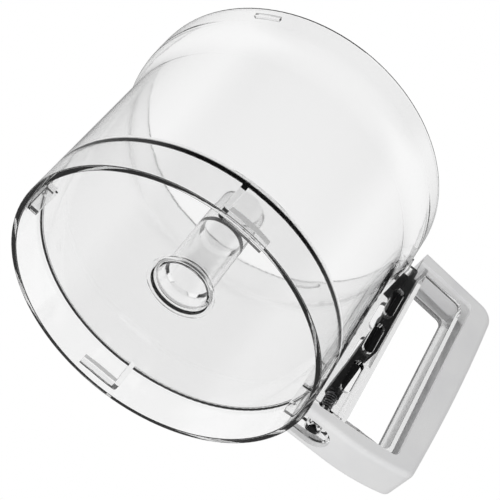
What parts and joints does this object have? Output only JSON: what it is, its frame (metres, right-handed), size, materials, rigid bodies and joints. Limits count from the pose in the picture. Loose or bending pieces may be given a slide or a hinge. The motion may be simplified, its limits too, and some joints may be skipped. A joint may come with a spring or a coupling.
{
  "type": "food processor work bowl",
  "caption": "Clear round food processor bowl with drive tube, bayonet skirt and a ribbed side handle that holds a spring-loaded lid interlock slider.",
  "frame": {"origin": "on the bowl's axis, in the plane of the skirt's bottom rim", "axes": "+Z along the bowl's axis towards its mouth, +X towards the handle, +Y completes a right-handed frame"},
  "size_m": [0.2543, 0.1962, 0.151],
  "materials": {
    "clear_plastic": "clear polycarbonate, polished",
    "frame_plastic": "clear polycarbonate, polished",
    "cover_plastic": "light grey ABS, fine satin",
    "slider_plastic": "black acetal, satin",
    "post_plastic": "dark grey acetal, satin",
    "tip_plastic": "black acetal, satin",
    "spring_steel": "drawn spring wire",
    "washer_steel": "blackened steel"
  },
  "bodies": {
    "bowl_body": {"bowl": "clear_plastic", "handle_frame": "frame_plastic", "handle_cover": "cover_plastic", "return_spring": "spring_steel", "spring_washer": "washer_steel"},
    "slider_body": {"interlock_slider": "slider_plastic", "slider_post": "post_plastic", "rod_tip": "tip_plastic"}
  },
  "joints": [
    {"name": "interlock_slide", "type": "slide", "parent": "bowl_body", "child": "slider_body", "axis": [0, 0, -1], "range_m": [0, 0.006], "stiffness_N_per_m": 250, "springref_m": -0.004, "deforming": ["return_spring"]}
  ]
}
